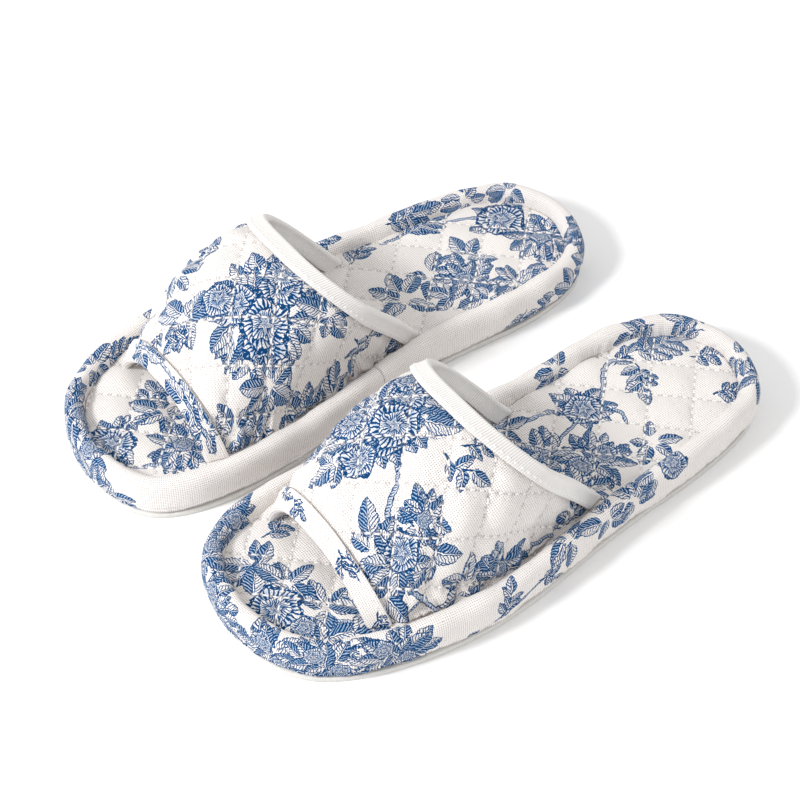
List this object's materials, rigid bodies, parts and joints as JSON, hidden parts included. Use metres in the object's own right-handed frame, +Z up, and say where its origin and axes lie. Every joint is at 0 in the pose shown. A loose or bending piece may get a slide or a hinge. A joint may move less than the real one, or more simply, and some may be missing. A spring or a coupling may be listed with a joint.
{
  "type": "spa slippers",
  "caption": "Open-toe quilted cloth slippers with a padded insole, rolled border, bound vamp band and thin flexible sole.",
  "frame": {"origin": "on the ground, at the middle of the pair's box", "axes": "+Z up, toes towards -Y, heels towards +Y, the wearer's left slipper at +X and the right one at -X"},
  "size_m": [0.2336, 0.2786, 0.0797],
  "materials": {
    "printed_canvas": "cream cotton canvas with a blue floral line print",
    "ribbed_tape": "cream twill binding tape",
    "plain_lining": "plain white cotton lining",
    "wadding": "soft white polyester wadding",
    "foam": "closed-cell foam sheet",
    "sole": "matt off-white non-slip sole sheet"
  },
  "bodies": {
    "right_front": {"right_outsole_front": "sole", "right_midsole_front": "foam", "right_insole_wadding_front": "wadding", "right_insole_cover_front": "printed_canvas", "right_border_roll_front": "wadding", "right_border_cover_front": "printed_canvas", "right_vamp_cover": "printed_canvas", "right_vamp_wadding": "wadding", "right_vamp_lining": "plain_lining", "right_topline_binding": "ribbed_tape", "right_toe_binding": "printed_canvas"},
    "right_heel": {"right_outsole_heel": "sole", "right_midsole_heel": "foam", "right_insole_wadding_heel": "wadding", "right_insole_cover_heel": "printed_canvas", "right_border_roll_heel": "wadding", "right_border_cover_heel": "printed_canvas"},
    "left_front": {"left_outsole_front": "sole", "left_midsole_front": "foam", "left_insole_wadding_front": "wadding", "left_insole_cover_front": "printed_canvas", "left_border_roll_front": "wadding", "left_border_cover_front": "printed_canvas", "left_vamp_cover": "printed_canvas", "left_vamp_wadding": "wadding", "left_vamp_lining": "plain_lining", "left_topline_binding": "ribbed_tape", "left_toe_binding": "printed_canvas"},
    "left_heel": {"left_outsole_heel": "sole", "left_midsole_heel": "foam", "left_insole_wadding_heel": "wadding", "left_insole_cover_heel": "printed_canvas", "left_border_roll_heel": "wadding", "left_border_cover_heel": "printed_canvas"}
  },
  "joints": [
    {"name": "right_sole_flex", "type": "hinge", "parent": "right_front", "child": "right_heel", "pos_m": [-0.0595, 0.045, 0.0228], "axis": [1, 0, 0], "range_deg": [0, 35]},
    {"name": "left_lift", "type": "slide", "parent": "right_front", "child": "left_front", "axis": [0, 0, 1], "range_m": [0, 0.15]},
    {"name": "left_sole_flex", "type": "hinge", "parent": "left_front", "child": "left_heel", "pos_m": [0.0595, 0.049, 0.0228], "axis": [1, 0, 0], "range_deg": [0, 35]}
  ]
}
